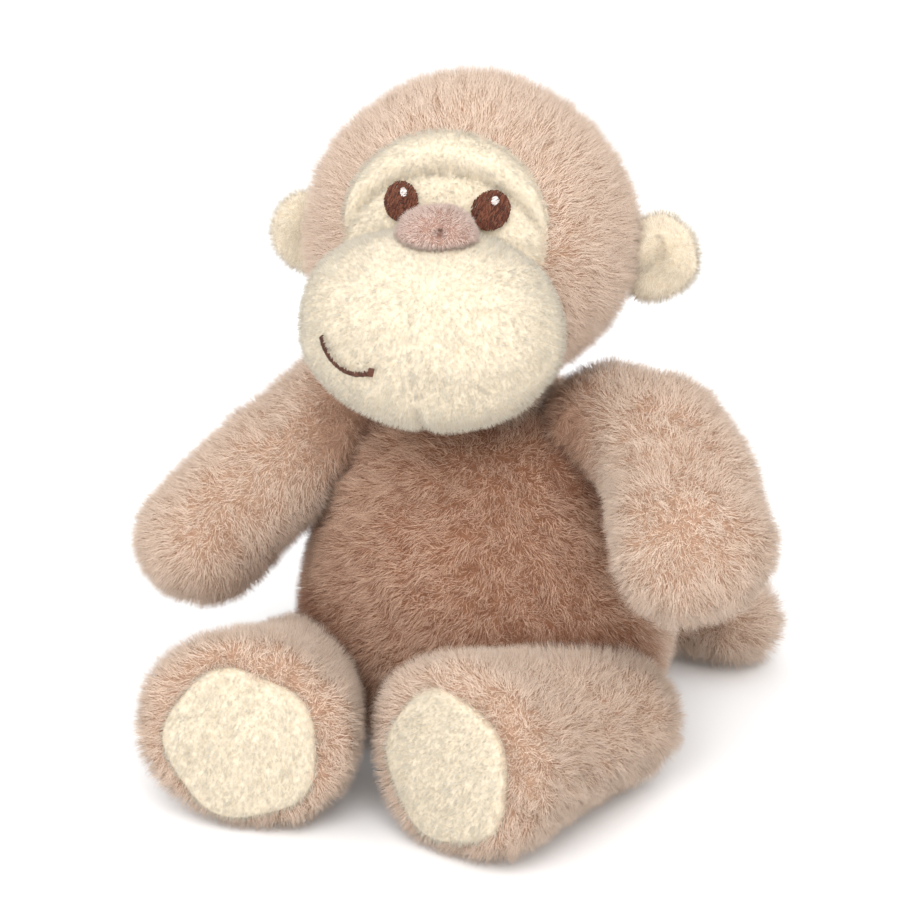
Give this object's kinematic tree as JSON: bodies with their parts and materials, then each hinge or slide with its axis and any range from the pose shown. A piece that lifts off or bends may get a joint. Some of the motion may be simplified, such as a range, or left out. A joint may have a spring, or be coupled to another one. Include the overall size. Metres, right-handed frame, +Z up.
{
  "type": "stuffed monkey",
  "caption": "Seated soft toy monkey with long-pile body panels, a cream padded face, jointed head, ears, arms, legs and tail, and a bead-weighted seat.",
  "frame": {"origin": "middle of the seat, on the surface that the toy sits on", "axes": "+Z up; the torso faces -Y; the toy's own left side is +X"},
  "size_m": [0.1837, 0.178, 0.1909],
  "materials": {
    "brown_pile": "matte",
    "cream_velour": "matte",
    "nose_pile": "matte",
    "brown_thread": "matte",
    "white_thread": "matte",
    "fibre_filling": "matte",
    "pouch_cloth": "matte",
    "bead_plastic": "matte"
  },
  "bodies": {
    "torso": {"torso_front_panel": "brown_pile", "torso_back_panel": "brown_pile", "torso_filling": "fibre_filling", "bead_pouch": "pouch_cloth", "bead_fill": "bead_plastic"},
    "neck": {"neck_cover": "brown_pile", "neck_filling": "fibre_filling"},
    "head": {"head_left_panel": "brown_pile", "head_right_panel": "brown_pile", "face_panel": "cream_velour", "head_filling": "fibre_filling", "brow_roll": "cream_velour", "muzzle_cover": "cream_velour", "muzzle_filling": "fibre_filling", "nose": "nose_pile", "mouth_stitch": "brown_thread", "eye_left": "brown_thread", "eye_right": "brown_thread", "eye_glint_left": "white_thread", "eye_glint_right": "white_thread"},
    "ear_left": {"ear_left_front": "cream_velour", "ear_left_back": "cream_velour"},
    "ear_right": {"ear_right_front": "cream_velour", "ear_right_back": "cream_velour"},
    "arm_left": {"arm_left_inner_panel": "brown_pile", "arm_left_outer_panel": "brown_pile", "arm_left_filling": "fibre_filling"},
    "arm_right": {"arm_right_inner_panel": "brown_pile", "arm_right_outer_panel": "brown_pile", "arm_right_filling": "fibre_filling"},
    "leg_left": {"leg_left_upper_panel": "brown_pile", "leg_left_lower_panel": "brown_pile", "leg_left_sole_pad": "cream_velour", "leg_left_filling": "fibre_filling"},
    "leg_right": {"leg_right_upper_panel": "brown_pile", "leg_right_lower_panel": "brown_pile", "leg_right_sole_pad": "cream_velour", "leg_right_filling": "fibre_filling"},
    "tail": {"tail_upper_panel": "brown_pile", "tail_lower_panel": "brown_pile", "tail_filling": "fibre_filling"}
  },
  "joints": [
    {"name": "neck_turn", "type": "hinge", "parent": "torso", "child": "neck", "pos_m": [0, 0.001, 0.1035], "axis": [0, 0, 1], "range_deg": [-40, 12], "stiffness_Nm_per_rad": 0.15},
    {"name": "neck_nod", "type": "hinge", "parent": "neck", "child": "head", "pos_m": [0, 0.001, 0.1035], "axis": [0.9848, 0.1736, 0], "range_deg": [-12, 8], "stiffness_Nm_per_rad": 0.6},
    {"name": "ear_left_fold", "type": "hinge", "parent": "head", "child": "ear_left", "pos_m": [0.04364, 0.01215, 0.1423], "axis": [0, 0, 1], "range_deg": [-28, 28], "stiffness_Nm_per_rad": 0.01},
    {"name": "ear_right_fold", "type": "hinge", "parent": "head", "child": "ear_right", "pos_m": [-0.0446, -0.00341, 0.1423], "axis": [0, 0, 1], "range_deg": [-28, 28], "stiffness_Nm_per_rad": 0.01},
    {"name": "shoulder_left", "type": "hinge", "parent": "torso", "child": "arm_left", "pos_m": [0.038, 0.002, 0.095], "axis": [-0.6885, -0.7253, 0], "range_deg": [-12, 34], "stiffness_Nm_per_rad": 0.15},
    {"name": "shoulder_right", "type": "hinge", "parent": "torso", "child": "arm_right", "pos_m": [-0.038, 0.002, 0.095], "axis": [-0.6839, 0.7295, 0], "range_deg": [-4, 66], "stiffness_Nm_per_rad": 0.15},
    {"name": "hip_left", "type": "hinge", "parent": "torso", "child": "leg_left", "pos_m": [0.0455, -0.019, 0.0207], "axis": [-0.9447, 0.3279, 0], "range_deg": [-18, 28], "stiffness_Nm_per_rad": 0.2},
    {"name": "hip_right", "type": "hinge", "parent": "torso", "child": "leg_right", "pos_m": [-0.0415, -0.025, 0.0207], "axis": [-0.9833, -0.1819, 0], "range_deg": [-18, 28], "stiffness_Nm_per_rad": 0.2},
    {"name": "tail_wag", "type": "hinge", "parent": "torso", "child": "tail", "pos_m": [0.003, 0.053, 0.0155], "axis": [0, 0, 1], "range_deg": [-6, 70], "stiffness_Nm_per_rad": 0.05}
  ]
}
